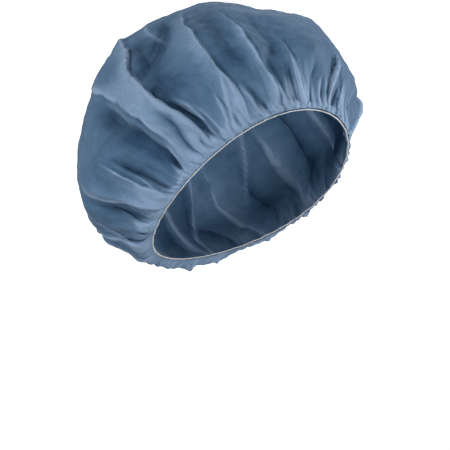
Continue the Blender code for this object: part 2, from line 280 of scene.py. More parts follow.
def gather_height(rim_angle, cloth):
    """Ripples round the rim, unevenly spaced and of uneven length, in metres along the normal."""
    drift = sum(size * np.sin(waves * rim_angle + phase) for waves, size, phase in GATHER_DRIFT)
    length = GATHER_MEAN + GATHER_VARY * np.sin(7 * rim_angle + 1.3) * np.cos(4 * rim_angle + 0.2)
    fade = 1.0 - smooth_step(GATHER_FULL, GATHER_END * length, cloth)
    swell = smooth_step(0.0, GATHER_FULL, cloth) * fade
    return GATHER_DEPTH * swell * np.cos(GATHER_COUNT * (rim_angle + drift))


def crown_points(rim_angle, cloth):
    """Points of the crown's outer face."""
    angle = turned_by_folds(rim_angle, cloth)
    lift, _ = fold_shape(angle, cloth, FOLDS + TOP_FOLDS, CREST_ROUNDNESS)
    lift = lift + gather_height(rim_angle, cloth)
    return smooth_form(angle, cloth) + outward_normals(angle, cloth) * lift[:, None]


# Photo frame: 450 x 450 pixels, the camera level, in front of the cap and to its right
VIEW_AZIMUTH = math.radians(-40.0)
CAMERA_DISTANCE = 1.6
PIXELS = 450
PIXELS_PER_METRE = 1290.0    # at the origin
ORIGIN_PIXEL = (243.5, 187.0)    # where the rim's centre falls in the photo
SENSOR_MM = 36.0

# Cloth mesh: columns round the rim, halved at two cloth shares, and rows in each stretch
CLOTH_COLUMNS = 1400
CLOTH_STRETCHES = (
    # from, to, rows, column_divisor
    (0.00, 0.13, 24, 1),
    (0.13, 0.70, 71, 2),
    (0.70, 0.985, 32, 4),
)
APEX_SHARE = 1.0 - 1e-6      # just short of the apex, where all columns meet
COLUMNS_CLOSER = 0.32        # share by which columns lie closer together where the photo shows the cap
COLUMNS_CLOSEST = math.radians(-48.0)
CLOTH_LENGTH = 0.232         # along the cloth from the rim to the apex

# Broad folds of a thin cloth: the solid's, lower and sharper, with crests that lean over their valley
THIN_ROUNDNESS = 1.12
THIN_DEPTH = 0.48            # height of the thin cloth's folds over the solid's
THIN_GATHERS = 0.4           # the same for the gathers
LEAN_SLIDE = 0.2             # sideways, as a share of a fold's height times its lean
FACING_BAND = (0.05, 0.40)   # how much a face looks to the photo's camera, where folds start to turn to it
FACING_LEAST = 0.55

# Small gathers: two sets of pleats, each pleat with a chance width, height and length
PLEAT_SETS = (
    # count, height, shortest, longest, at_rim, seed; height is a share of the pleat's width
    (124, 0.38, 0.040, 0.150, 0.50, 3),
    (59, 0.26, 0.080, 0.260, 0.15, 8),
)
PLEAT_WIDTHS = (0.45, 1.55)          # chance ranges of their widths and sizes, as shares
PLEAT_SIZES = (0.35, 1.0)
PLEAT_SHORTNESS = 1.6                # above 1, short pleats are commoner than long ones
PLEAT_GROWN = 0.028                  # cloth share at which a pleat is fully grown
PLEAT_FADE = 0.30                    # share of its length from which it fades
PLEAT_ROUNDNESS = 0.6                # below 1, its top is round and its valleys are sharp
BACK_CALM = 0.75                     # share by which pleats and gathers are lower behind the rim
BACK_BAND = (-0.1, 0.9)              # how much the rim looks back where that begins, and where it is full

# Painted light and shade in the cloth's colour, partly for its layers: lighter with the height of folds and
# pleats, and darker in their valleys; lighter where it bunches at the rim; a painted highlight along sharp
# crests
FOLD_SHADE_AND_LAYERS = 0.22
PLEAT_SHADE_AND_LAYERS = 0.45
PLEAT_TALL = 0.0012
PLEAT_LEVEL = 0.4            # share of PLEAT_TALL that counts as no change
PLEAT_SHADE_END = 0.3
RIM_LIGHT_AND_LAYERS = 0.85
RIM_LIGHT_END = 0.20
CREST_PAINTED_HIGHLIGHT = 1.45           # painted highlight along a sharp crest, over the width in the next line
CREST_HIGHLIGHT_WIDTH = 0.0010

# Chance creases and crumpling
CREASES = 170
CREASE_SEED = 11
CREASE_SHARES = (0.06, 0.95)         # chance ranges of cloth share, length, width, and height over width
CREASE_LENGTHS = (0.008, 0.028)
CREASE_WIDTHS = (0.0014, 0.0040)
CREASE_HEIGHTS = (0.10, 0.30)
CREASE_LEAN = 0.5                    # spread of their lean at the rim, and how much it grows up to the apex
CREASE_LEAN_GROWTH = 1.2
CREASE_BEND = 6.0
CREASE_REACH = 1.3                   # share of its length within which a crease is worked out
CREASE_ROUNDNESS = 1.2
FACETS = (
    # creases per metre, height, directions
    (26.0, 0.0032, 6),
    (66.0, 0.0016, 6),
    (140.0, 0.0004, 6),
)
FACET_SEED = 5
FACET_SPACINGS = (0.6, 1.5)          # chance range of the spacing
FACET_BEND = 0.35                    # how far the edges of facets bend, and how often for each crease
FACET_BENDS = 0.6
FACET_PATCHES = 0.9                  # how often their height comes and goes for each crease
CRUMPLES = ((80.0, 0.00035), (190.0, 0.00020))       # waves per metre, height
CRUMPLE_SHARES = (0.04, 0.22)        # cloth shares between which facets and crumpling set in
ANY_PHASE = (0.0, 6.3)

# Sharp crests and valleys read off the photo, each along a line of points from the rim up, in degrees
# round the cap and cloth shares. The height is a share of LINE_HEIGHT. The widths towards smaller and larger
# angles are shares of LINE_WIDTH.
LINE_HEIGHT = 0.0065
LINE_WIDTH = 0.010
LINE_LEAD = 0.02             # cloth share by which a line starts below its first point
LINE_GROW = (-0.06, 0.14)    # shares of a line's length between which it rises, and from which it fades
LINE_FADE = 0.68
LINE_ROUNDNESS = 1.15
LINE_SLIDE = 0.3             # sideways, as a share of its height times its lean
SLANT_STEP = 0.03            # cloth share over which its slant is measured
CREST_BACK = 0.005           # how far a crest, times its lean, stands back from where its shade starts
CORE = 0.5                   # share of a crest's height in its narrow core, and of a valley's depth
VALLEY_CORE = 0.2
CORE_WIDTH = 0.32            # of the core, as a share of the line's
FINEST_WIDTHS = (0.0005, 0.0008)     # least width of the core, at the cloth shares in the next line
FINEST_SHARES = (0.09, 0.15)
FOOT_DEPTH = 0.3             # of the valley beside a crest's steep side, as a share of the crest's height
FOOT_PLACE = 1.6             # of that valley and its width, as shares of the steep side's width
FOOT_WIDTH = 0.8
# painted shade in that valley
FOOT_PAINTED_SHADE = 0.5
BAND_WIDTH = 1.2             # of the band painted lighter on a crest, darker on a valley, as a share of the line's
BAND_NARROWED = 0.75         # less of it on the steep side of a leaning crest
BAND_ROUNDNESS = 1.8
LINES = (
    # height, low_width, high_width, points
    (0.85, 1.00, 0.26, ((-50, 0.01), (-53, 0.08), (-57, 0.17), (-61, 0.26), (-64, 0.35), (-69, 0.46),
                        (-67, 0.58), (-78, 0.84))),
    (-0.75, 0.80, 1.00, ((-54, 0.24), (-57, 0.32), (-60, 0.42), (-62, 0.52), (-64, 0.64))),
    (-1.40, 0.18, 0.60, ((-55, 0.06), (-56, 0.12), (-58, 0.17), (-59, 0.20), (-61, 0.26), (-63, 0.34))),
    (0.36, 0.18, 0.45, ((-53, 0.07), (-54, 0.13), (-56, 0.19), (-58, 0.25))),
    (-0.75, 0.70, 0.45, ((-62, 0.38), (-54, 0.44), (-48, 0.52), (-43, 0.65))),
    (0.70, 0.90, 0.20, ((-34, 0.04), (-34, 0.13), (-34, 0.19), (-35, 0.25), (-36, 0.32), (-38, 0.41),
                        (-38, 0.53), (-30, 0.72))),
    (0.30, 0.25, 0.14, ((-41, 0.00), (-41, 0.07), (-40, 0.12), (-38, 0.17), (-36, 0.25))),
    (0.26, 0.22, 0.14, ((-46, 0.00), (-44, 0.07), (-43, 0.12), (-42, 0.22))),
    (0.26, 0.20, 0.14, ((-29, 0.04), (-30, 0.11), (-33, 0.17))),
    (-0.50, 0.20, 0.20, ((-24, 0.01), (-28, 0.10), (-30, 0.16))),
    (0.72, 0.65, 0.18, ((-16, 0.04), (-17, 0.15), (-19, 0.22), (-20, 0.30), (-20, 0.40), (-23, 0.54))),
    (-0.35, 0.22, 0.22, ((-13, 0.05), (-15, 0.15), (-17, 0.25))),
    (0.50, 0.40, 0.16, ((-4, 0.04), (-4, 0.16), (-5, 0.22), (-7, 0.34))),
    (-0.35, 0.18, 0.18, ((-9, 0.03), (-9, 0.13), (-8, 0.22))),
    (0.22, 0.20, 0.16, ((-12, 0.02), (-11, 0.18))),
    (-0.40, 0.18, 0.18, ((-1, 0.02), (2, 0.12), (4, 0.20))),
    (0.28, 0.26, 0.26, ((6, 0.02), (8, 0.15))),
    (-0.28, 0.16, 0.16, ((7, 0.02), (10, 0.14))),
    (0.42, 0.30, 0.16, ((14, 0.03), (20, 0.17), (22, 0.22), (20, 0.31))),
    (-0.32, 0.15, 0.15, ((11, 0.03), (16, 0.17), (16, 0.26))),
    (-0.36, 0.16, 0.16, ((16, 0.03), (23, 0.16), (22, 0.25))),
    (0.24, 0.22, 0.18, ((22, 0.01), (27, 0.14))),
    (0.30, 0.22, 0.16, ((-51, 0.04), (-52, 0.13), (-53, 0.19), (-57, 0.26))),
    (0.50, 0.26, 0.14, ((-59, 0.02), (-59, 0.08), (-58, 0.12), (-61, 0.20))),
    (-0.36, 0.15, 0.15, ((-61, 0.02), (-59, 0.10))),
    (-0.70, 0.30, 0.22, ((-63, 0.04), (-64, 0.11), (-63, 0.17), (-64, 0.26))),
    (0.80, 0.16, 0.80, ((-71, 0.01), (-70, 0.11), (-71, 0.18), (-72, 0.25), (-78, 0.36), (-88, 0.48),
                        (-106, 0.66))),
    (-1.00, 1.00, 0.30, ((-74, 0.02), (-73, 0.10), (-74, 0.18), (-76, 0.26), (-83, 0.38), (-90, 0.47))),
    (-0.35, 0.15, 0.15, ((-74, 0.02), (-73, 0.12))),
    (0.26, 0.18, 0.18, ((-73, 0.02), (-72, 0.08), (-70, 0.15))),
    (0.55, 0.90, 0.18, ((-86, 0.01), (-88, 0.08), (-92, 0.12), (-94, 0.18), (-95, 0.27))),
    (-0.60, 0.15, 0.26, ((-84, 0.03), (-87, 0.10), (-90, 0.17), (-92, 0.25))),
    (0.60, 0.16, 0.90, ((-98, 0.01), (-101, 0.06), (-106, 0.10), (-112, 0.17), (-115, 0.24),
                        (-118, 0.33))),
    (-0.38, 0.35, 0.22, ((-102, 0.01), (-104, 0.07), (-110, 0.12), (-118, 0.25))),
    (0.22, 0.16, 0.16, ((-88, 0.01), (-93, 0.09))),
    (0.32, 0.30, 0.30, ((-134, 0.14), (-131, 0.22), (-120, 0.28))),
    (-0.35, 0.20, 0.20, ((-119, 0.00), (-118, 0.06), (-130, 0.16))),
    (-0.35, 0.20, 0.20, ((-121, 0.02), (-133, 0.13))),
    (0.30, 0.35, 0.30, ((-50, 0.46), (-55, 0.60), (-56, 0.71))),
    (-0.45, 0.90, 0.90, ((-27, 0.20), (-29, 0.34), (-31, 0.50), (-28, 0.66))),
    (-0.30, 0.60, 0.60, ((-11, 0.22), (-13, 0.34), (-15, 0.48))),
    # guessed: long soft creases over the back, which the photo doesn't show
    (0.45, 0.90, 0.35, ((150, 0.05), (154, 0.25), (150, 0.48), (140, 0.72))),
    (-0.50, 0.60, 0.80, ((160, 0.10), (165, 0.32), (168, 0.55), (160, 0.80))),
    (0.50, 0.30, 0.80, ((176, 0.04), (180, 0.22), (186, 0.45), (196, 0.66))),
    (-0.40, 0.50, 0.50, ((187, 0.06), (190, 0.26), (196, 0.44))),
    (0.40, 0.70, 0.30, ((203, 0.04), (200, 0.24), (208, 0.46), (218, 0.70))),
    (0.35, 0.35, 0.70, ((128, 0.30), (120, 0.50), (104, 0.72))),
    (-0.40, 0.60, 0.40, ((84, 0.42), (78, 0.60), (62, 0.80))),
    (0.35, 0.60, 0.30, ((50, 0.24), (46, 0.42), (36, 0.62))),
)

# Sharp lines along the folds that the photo doesn't show, in degrees round the cap
FAR_FROM = 56.0
FAR_TO = 228.0
FAR_LONGER = 0.20            # cloth share by which they run on above the fold, and where they end at most
FAR_END = 0.9
FAR_POINTS = 6

# Thin sharp ridges and grooves round the rim. Chance ranges of the degrees between them, of the cloth share
# where they end, and of their height, their width and the width of one side over the other
RIDGE_SEED = 21
RIDGE_STEPS = (2.2, 5.0)
RIDGE_LAST = 358.0           # none starts past this angle
RIDGE_START = 0.005
RIDGE_ENDS = (0.07, 0.20)
RIDGE_LONGER = 0.12          # the most by which a few are longer
RIDGE_HEIGHTS = (0.10, 0.26)
RIDGE_WIDTHS = (0.10, 0.22)
RIDGE_SIDES = (0.6, 1.0)
RIDGE_BEND = 2.0             # spread of their bends, in degrees
RIDGE_FAN = 30.0             # degrees by which one of full length leans back at the side of the cap


def back_share(cosine):
    """Share of their height that pleats and gathers have, by the cosine of the angle from the front."""
    return 1.0 - BACK_CALM * smooth_step(*BACK_BAND, -cosine)


def pleat_height(rim_angle, cloth):
    """Pleats round the rim: round puffs between sharp valleys, each of its own width, height and length."""
    total = np.zeros_like(cloth)
    for count, height, shortest, longest, at_rim, seed in PLEAT_SETS:
        chance = np.random.default_rng(seed)
        widths = chance.uniform(*PLEAT_WIDTHS, count)
        edges = np.append(0.0, np.cumsum(widths)) * 2 * math.pi / widths.sum()
        sizes = chance.uniform(*PLEAT_SIZES, count)
        lengths = shortest + (longest - shortest) * chance.uniform(0.0, 1.0, count) ** PLEAT_SHORTNESS
        turn = rim_angle % (2 * math.pi)
        pleat = np.clip(np.searchsorted(edges, turn, side="right") - 1, 0, count - 1)
        across = (turn - edges[pleat]) / (edges[pleat + 1] - edges[pleat])
        width = (edges[pleat + 1] - edges[pleat]) * mean_radius(0.0 * cloth)
        grow = at_rim + (1.0 - at_rim) * smooth_step(0.0, PLEAT_GROWN, cloth)
        fade = 1.0 - smooth_step(PLEAT_FADE * lengths[pleat], lengths[pleat], cloth)
        total += height * width * sizes[pleat] * np.sin(math.pi * across) ** PLEAT_ROUNDNESS * grow * fade
    return total * back_share(np.cos(rim_angle))


def line_shape(angle, cloth, lines):
    """Heights, slides and painted light and shade of the sharp lines.

    One side falls off quickly, and the crest leans over that side. The other side is the pleat itself,
    painted lighter, partly for its more layers of cloth. A valley is painted darker, as painted shade, and so
    is the foot beside a steep side; a sharp crest gets a thin painted highlight.
    """
    radius = mean_radius(cloth)
    total = np.zeros_like(cloth)
    slide = np.zeros_like(cloth)
    painted_shade_and_layers = np.zeros_like(cloth)
    for height, low_width, high_width, points in lines:
        places = np.radians([point[0] for point in points])
        shares = np.array([point[1] for point in points])
        near = np.nonzero((cloth > shares[0] - LINE_LEAD) & (cloth < shares[-1]))[0]
        share = cloth[near]
        crest = np.interp(share, shares, places)
        ahead = np.interp(share + SLANT_STEP, shares, places)
        behind = np.interp(share - SLANT_STEP, shares, places)
        across = ((angle[near] - crest + math.pi) % (2 * math.pi) - math.pi) * radius[near]
        slant = (ahead - behind) * radius[near] / (2.0 * SLANT_STEP * CLOTH_LENGTH)
        lean = (low_width - high_width) / (low_width + high_width)
        across = across / np.sqrt(1.0 + slant * slant) + (CREST_BACK * lean if height > 0.0 else 0.0)
        width = LINE_WIDTH * np.where(across < 0.0, low_width, high_width)
        along = (share - shares[0]) / (shares[-1] - shares[0])
        grow = smooth_step(*LINE_GROW, along) * (1.0 - smooth_step(LINE_FADE, 1.0, along))
        steep = LINE_WIDTH * min(low_width, high_width)
        foot = np.exp(-((across * np.sign(lean) / steep - FOOT_PLACE) / FOOT_WIDTH) ** 2) * abs(lean)
        core = np.maximum(CORE_WIDTH * width, np.interp(share, FINEST_SHARES, FINEST_WIDTHS))
        share_in_core = CORE if height > 0.0 else VALLEY_CORE
        profile = (1.0 - share_in_core) * np.exp(-(np.abs(across) / width) ** LINE_ROUNDNESS)
        profile += share_in_core * np.exp(-(np.abs(across) / core))
        raised = LINE_HEIGHT * height * grow * (profile - FOOT_DEPTH * foot)
        total[near] += raised
        slide[near] += LINE_SLIDE * lean * np.abs(raised) / radius[near]
        # painted light along a crest's band and painted shade along a valley's, with painted shade at the
        # foot
        band = np.where(width > steep, BAND_WIDTH * width, (BAND_WIDTH - BAND_NARROWED * abs(lean)) * width)
        painted_band_shade = np.exp(-(np.abs(across) / band) ** BAND_ROUNDNESS) - FOOT_PAINTED_SHADE * foot
        painted_shade_and_layers[near] += height * grow * painted_band_shade
        # a thin painted highlight right on a crest
        painted_shade_and_layers[near] += CREST_PAINTED_HIGHLIGHT * max(height, 0.0) ** 0.5 * grow * np.exp(-(across / CREST_HIGHLIGHT_WIDTH) ** 2)
    return total, slide, painted_shade_and_layers


def far_lines():
    """Sharp lines along the folds on the sides that the photo doesn't show."""
    lines = []
    for row in FOLDS:
        _, middle, _, start, end, height, _, _, lean = row
        if FAR_FROM < middle % 360 < FAR_TO:
            shares = np.linspace(start, min(end + FAR_LONGER, FAR_END), FAR_POINTS)
            points = [(math.degrees(crest_angle(row, share)), share) for share in shares]
            lean = lean if height > 0.0 else 0.0
            lines.append((height, 0.5 * (1.0 + lean), 0.5 * (1.0 - lean), points))
    return lines


def ridge_lines():
    """Thin sharp gathers all round the rim, up and down, of chance length and height."""
    chance = np.random.default_rng(RIDGE_SEED)
    lines = []
    place = 0.0
    while place < RIDGE_LAST:
        end = chance.uniform(*RIDGE_ENDS) + RIDGE_LONGER * chance.uniform() ** 3
        bend = chance.normal(0.0, RIDGE_BEND) + RIDGE_FAN * math.sin(math.radians(place)) * end
        height = chance.uniform(*RIDGE_HEIGHTS) * chance.choice((-1.0, 1.0))
        height *= back_share(math.cos(math.radians(place)))
        width = chance.uniform(*RIDGE_WIDTHS)
        points = [(place, RIDGE_START), (place + 0.4 * bend, 0.5 * end), (place + bend, end)]
        lines.append((height, width, chance.uniform(*RIDGE_SIDES) * width, points))
        place += chance.uniform(*RIDGE_STEPS)
    return lines


def crease_height(angle, cloth):
    """Short sharp creases at chance places, up and down, mostly along the pull of the gathers."""
    chance = np.random.default_rng(CREASE_SEED)
    radius = mean_radius(cloth)
    total = np.zeros_like(cloth)
    for _ in range(CREASES):
        place = chance.uniform(-math.pi, math.pi)
        share = chance.uniform(*CREASE_SHARES)
        length = chance.uniform(*CREASE_LENGTHS)
        width = chance.uniform(*CREASE_WIDTHS)
        height = chance.uniform(*CREASE_HEIGHTS) * width * chance.choice((-1.0, 1.0))
        lean = chance.normal(0.0, CREASE_LEAN + CREASE_LEAN_GROWTH * share)
        near = np.nonzero(np.abs(cloth - share) < CREASE_REACH * length / CLOTH_LENGTH)[0]
        away = (angle[near] - place + math.pi) % (2 * math.pi) - math.pi
        x = away * radius[near]
        y = (cloth[near] - share) * CLOTH_LENGTH
        along = x * math.sin(lean) + y * math.cos(lean)
        bend = CREASE_BEND * along * along * math.sin(place * 5)
        across = x * math.cos(lean) - y * math.sin(lean) + bend
        profile = np.exp(-(np.abs(across) / width) ** CREASE_ROUNDNESS)
        total[near] += height * (profile * np.clip(1.0 - (along / length) ** 2, 0.0, 1.0))
    return total


def crumple_height(points, cloth):
    """Flat facets between straight creases, and fine unevenness, of a sheet that was folded and pulled."""
    chance = np.random.default_rng(FACET_SEED)
    total = np.zeros(len(points))
    for creases, height, directions in FACETS:
        for _ in range(directions):
            across, along = unit(chance.normal(size=(2, 3)))
            bend = FACET_BEND * np.sin(points @ along * FACET_BENDS * creases + chance.uniform(*ANY_PHASE))
            turn = points @ across * creases * chance.uniform(*FACET_SPACINGS)
            turn = turn + chance.uniform(0.0, 2.0) + bend
            wave = np.sin(points @ along * FACET_PATCHES * creases + chance.uniform(*ANY_PHASE))
            strength = 0.5 + 0.5 * wave
            total += height * strength * (np.abs(turn % 2.0 - 1.0) - 0.5)
    for waves, height in CRUMPLES:
        values = [noise.noise(Vector(point) * waves) for point in points]
        total += height * (np.abs(np.array(values)) * 2.0 - 0.4)
    return total * smooth_step(*CRUMPLE_SHARES, cloth)


def lift_directions(outward):
    """Ways that folds rise: along the normal, but towards the photo's camera on the side that faces it.

    So their crests stay on the lines read off the photo.
    """
    toward = np.array(view_axes()[2])
    facing = outward @ toward
    turned = smooth_step(*FACING_BAND, facing)[:, None]
    return outward + turned * (toward / np.maximum(facing, FACING_LEAST)[:, None] - outward)


def cloth_rings():
    """Column count and cloth share of every row."""
    rings = []
    for low, high, rows, divisor in CLOTH_STRETCHES:
        for row in range(rows):
            rings.append((CLOTH_COLUMNS // divisor, low + (high - low) * row / rows))
    return rings


def ring_faces(rings):
    """Faces between neighbouring rows, and round the apex, as lists of point numbers."""
    faces = []
    start = 0
    for (count, _), (next_count, _) in zip(rings, rings[1:]):
        upper = start + count
        if next_count == count:
            for i in range(count):
                j = (i + 1) % count
                faces.append((start + i, start + j, upper + j, upper + i))
        else:
            for i in range(next_count):
                j = (i + 1) % next_count
                faces.append((start + 2 * i, start + 2 * i + 1, upper + i))
                faces.append((start + 2 * i + 1, upper + j, upper + i))
                faces.append((start + 2 * i + 1, start + (2 * i + 2) % count, upper + j))
        start = upper
    apex = start + rings[-1][0]
    for i in range(rings[-1][0]):
        faces.append((start + i, start + (i + 1) % rings[-1][0], apex))
    return faces


def build_cloth():
    """The whole crown as one sheet, with its flat shape as its UV map."""
    rings = cloth_rings()
    rim_angle = np.concatenate([np.arange(count) * 2 * math.pi / count for count, _ in rings] + [[0.0]])
    rim_angle = rim_angle - COLUMNS_CLOSER * np.sin(rim_angle - COLUMNS_CLOSEST)
    cloth = np.concatenate([np.full(count, share) for count, share in rings] + [[APEX_SHARE]])
    angle = turned_by_folds(rim_angle, cloth)
    lift, slide = fold_shape(angle, cloth, FOLDS + TOP_FOLDS, THIN_ROUNDNESS)
    line_lift, line_slide, painted_shade_and_layers = line_shape(angle, cloth, [*LINES, *far_lines(), *ridge_lines()])
    lift = THIN_DEPTH * lift + line_lift + THIN_GATHERS * gather_height(rim_angle, cloth)
    rise = lift_directions(outward_normals(angle, cloth)) * lift[:, None]
    points = smooth_form(angle + slide + line_slide, cloth) + rise
    mesh = bpy.data.meshes.new("crown_cloth")
    mesh.from_pydata(points.tolist(), [], ring_faces(rings))
    mesh.update()
    normals = np.empty(len(points) * 3)
    mesh.vertices.foreach_get("normal", normals)
    pleats = pleat_height(rim_angle, cloth)
    detail = pleats + crease_height(angle, cloth) + crumple_height(points, cloth)
    points = points + normals.reshape(-1, 3) * detail[:, None]
    # Painted light and shade: lighter on fold crests, pleat tops and near the rim, darker in their valleys
    painted_shade_and_layers = painted_shade_and_layers + FOLD_SHADE_AND_LAYERS * lift / FOLD_DEPTH
    painted_shade_and_layers = painted_shade_and_layers + PLEAT_SHADE_AND_LAYERS * (pleats / PLEAT_TALL - PLEAT_LEVEL) * (cloth < PLEAT_SHADE_END)
    painted_shade_and_layers = painted_shade_and_layers + RIM_LIGHT_AND_LAYERS * (1.0 - smooth_step(0.0, RIM_LIGHT_END, cloth))
    mesh.vertices.foreach_set("co", points.ravel())
    mesh.update()
    flat = 0.5 + 0.5 * (1.0 - cloth)[:, None] * np.stack([np.cos(rim_angle), np.sin(rim_angle)], axis=1)
    corner = np.empty(len(mesh.loops), dtype=np.int32)
    mesh.loops.foreach_get("vertex_index", corner)
    uv = mesh.uv_layers.new(name="flat_cloth")
    uv.data.foreach_set("uv", flat[corner].ravel())
    # the painted light and shade, kept on the points for the cloth's colour
    mesh.attributes.new("painted_shade_and_layers", "FLOAT", "POINT").data.foreach_set("value", painted_shade_and_layers)
    mesh.shade_smooth()
    cloth_object = bpy.data.objects.new("crown_cloth", mesh)
    bpy.context.scene.collection.objects.link(cloth_object)
    return cloth_object


EDGE_STEP = 0.013            # cloth share over which the cloth's way up from its edge is measured


def rim_frame(count):
    """Points of the crown's edge, with the directions along it, up the cloth and into the cap."""
    angle = np.arange(count) * 2 * math.pi / count
    edge = crown_points(angle, np.zeros(count))
    rise = crown_points(angle, np.full(count, EDGE_STEP)) - edge
    along = unit(np.roll(edge, -1, axis=0) - np.roll(edge, 1, axis=0))
    inward = unit(np.cross(rise, along))
    upward = np.cross(along, inward)
    return edge, along, upward, inward


def closed_cord(name, points, thickness, roundness):
    """A closed round cord through the given points."""
    curve = bpy.data.curves.new(name, "CURVE")
    curve.dimensions = "3D"
    curve.bevel_depth = 0.5 * thickness
    curve.bevel_resolution = roundness
    spline = curve.splines.new("POLY")
    spline.points.add(len(points) - 1)
    spline.points.foreach_set("co", np.column_stack([points, np.ones(len(points))]).ravel())
    spline.use_cyclic_u = True
    spline.use_smooth = True
    cord = bpy.data.objects.new(name, curve)
    bpy.context.scene.collection.objects.link(cord)
    return cord


ELASTIC_SHOWN = 0.0005       # thickness of the elastic as it shows
ELASTIC_POINTS = 1260
ELASTIC_CRIMPS = 210         # small waves where the stitches grip it
CRIMP_HEIGHT = 0.00012
STITCHES = 250
STITCH_THREAD = 0.00018
STITCH_LIFT = 0.0004         # of the middle of the stitches over the elastic's
STITCH_HEIGHT = 0.00045      # half the stitches' height, and half their depth through the cloth
STITCH_DEPTH = 0.0007
POINTS_A_STITCH = 14


def build_elastic():
    """The white elastic, slightly crimped by its stitches."""
    edge, _, upward, inward = rim_frame(ELASTIC_POINTS)
    turn = np.arange(ELASTIC_POINTS) * 2 * math.pi / ELASTIC_POINTS
    drop = 0.5 * ELASTIC_THICKNESS + EDGE_GAP + CRIMP_HEIGHT * np.sin(ELASTIC_CRIMPS * turn)
    points = edge - upward * drop[:, None] + inward * 0.5 * CLOTH_WALL
    return closed_cord("rim_elastic", points, ELASTIC_SHOWN, 2)


def build_stitches():
    """The edge thread: it winds round the elastic and the cloth's edge."""
    count = STITCHES * POINTS_A_STITCH
    edge, _, upward, inward = rim_frame(count)
    turn = np.arange(count) * 2 * math.pi / POINTS_A_STITCH
    middle = edge - upward * (0.5 * ELASTIC_THICKNESS + EDGE_GAP - STITCH_LIFT) + inward * 0.5 * CLOTH_WALL
    around = upward * (np.cos(turn) * STITCH_HEIGHT)[:, None]
    around = around + inward * (np.sin(turn) * STITCH_DEPTH)[:, None]
    return closed_cord("edge_stitches", middle + around, STITCH_THREAD, 1)


def new_material(name):
    """A material with its nodes, links and shader."""
    material = bpy.data.materials.new(name)
    material.use_nodes = True
    nodes = material.node_tree.nodes
    return material, nodes, material.node_tree.links, nodes["Principled BSDF"]


def set_inputs(node, values):
    """Give a node's own inputs their values, by name."""
    for name, value in values.items():
        node.inputs[name].default_value = value


def add_noise(nodes, links, place, values):
    """A noise texture at the given place."""
    texture = nodes.new("ShaderNodeTexNoise")
    set_inputs(texture, values)
    links.new(place, texture.inputs["Vector"])
    return texture.outputs["Fac"]


def add_range(nodes, links, value, limits):
    """A value brought to another range."""
    change = nodes.new("ShaderNodeMapRange")
    set_inputs(change, limits)
    links.new(value, change.inputs["Value"])
    return change.outputs["Result"]


def add_ramp(nodes, links, value, stops):
    """A colour from a value, by places and colours on a ramp."""
    shades = nodes.new("ShaderNodeValToRGB")
    for place_on_ramp, _ in stops[1:-1]:
        shades.color_ramp.elements.new(place_on_ramp)
    for element, (place_on_ramp, colour) in zip(shades.color_ramp.elements, stops):
        element.position = place_on_ramp
        element.color = (*colour, 1.0)
    links.new(value, shades.inputs["Fac"])
    return shades.outputs["Color"]


def add_bump(nodes, links, height, strength, distance):
    """Fine relief from a height."""
    relief = nodes.new("ShaderNodeBump")
    set_inputs(relief, {"Strength": strength, "Distance": distance})
    links.new(height, relief.inputs["Height"])
    return relief


THROUGH_LIGHT = 0.14         # share of the light that the thin cloth lets through
CLOUDINESS = 0.54            # how much the clouds of fibres change the shade
CLOTH_SHADES = (
    # place on the ramp, from painted shade and a single stretched layer to painted light and bunched cloth,
    # and colour
    (0.24, (0.016, 0.050, 0.106)),
    (0.50, (0.056, 0.119, 0.204)),
    (0.72, (0.101, 0.177, 0.280)),
    (1.00, (0.205, 0.298, 0.432)),
)


def cloth_material():
    """Blue spunbond cloth: cloudy fibres, painted light and shade, small bonding points in rows and a soft
    sheen.
    """
    material, nodes, links, shader = new_material("blue_nonwoven")
    place = nodes.new("ShaderNodeTexCoord").outputs["UV"]
    clouds = add_noise(nodes, links, place, {"Scale": 36.0, "Detail": 8.0, "Roughness": 0.72})
    # painted light and shade from the mesh: lighter on crests and bunched cloth, darker in valleys
    painted_shade_and_layers = nodes.new("ShaderNodeAttribute")
    painted_shade_and_layers.attribute_name = "painted_shade_and_layers"
    painted_shade_and_bunching = add_range(nodes, links, painted_shade_and_layers.outputs["Fac"], {"From Min": -0.7, "From Max": 1.9})
    clouds_and_painted_shade = nodes.new("ShaderNodeMath")
    clouds_and_painted_shade.operation = "MULTIPLY_ADD"
    clouds_and_painted_shade.inputs[1].default_value = CLOUDINESS
    links.new(clouds, clouds_and_painted_shade.inputs[0])
    links.new(painted_shade_and_bunching, clouds_and_painted_shade.inputs[2])
    colour = add_ramp(nodes, links, clouds_and_painted_shade.outputs["Value"], CLOTH_SHADES)
    links.new(colour, shader.inputs["Base Color"])
    rough = add_range(nodes, links, clouds, {"To Min": 0.60, "To Max": 0.80})
    links.new(rough, shader.inputs["Roughness"])
    sheen = {"Sheen Weight": 0.18, "Sheen Roughness": 0.45, "Sheen Tint": (0.62, 0.74, 0.95, 1.0)}
    set_inputs(shader, {"Specular IOR Level": 0.22, **sheen})
    bonds = nodes.new("ShaderNodeTexVoronoi")
    set_inputs(bonds, {"Scale": 380.0, "Randomness": 0.15})
    links.new(place, bonds.inputs["Vector"])
    dents = add_bump(nodes, links, bonds.outputs["Distance"], 0.25, 0.0002)
    fibres = add_noise(nodes, links, place, {"Scale": 900.0, "Detail": 4.0})
    fuzz = add_bump(nodes, links, fibres, 0.25, 0.0001)
    links.new(dents.outputs["Normal"], fuzz.inputs["Normal"])
    links.new(fuzz.outputs["Normal"], shader.inputs["Normal"])
    through = nodes.new("ShaderNodeBsdfTranslucent")
    links.new(colour, through.inputs["Color"])
    blend = nodes.new("ShaderNodeMixShader")
    blend.inputs["Fac"].default_value = THROUGH_LIGHT
    links.new(shader.outputs["BSDF"], blend.inputs[1])
    links.new(through.outputs["BSDF"], blend.inputs[2])
    links.new(blend.outputs["Shader"], nodes["Material Output"].inputs["Surface"])
    return material


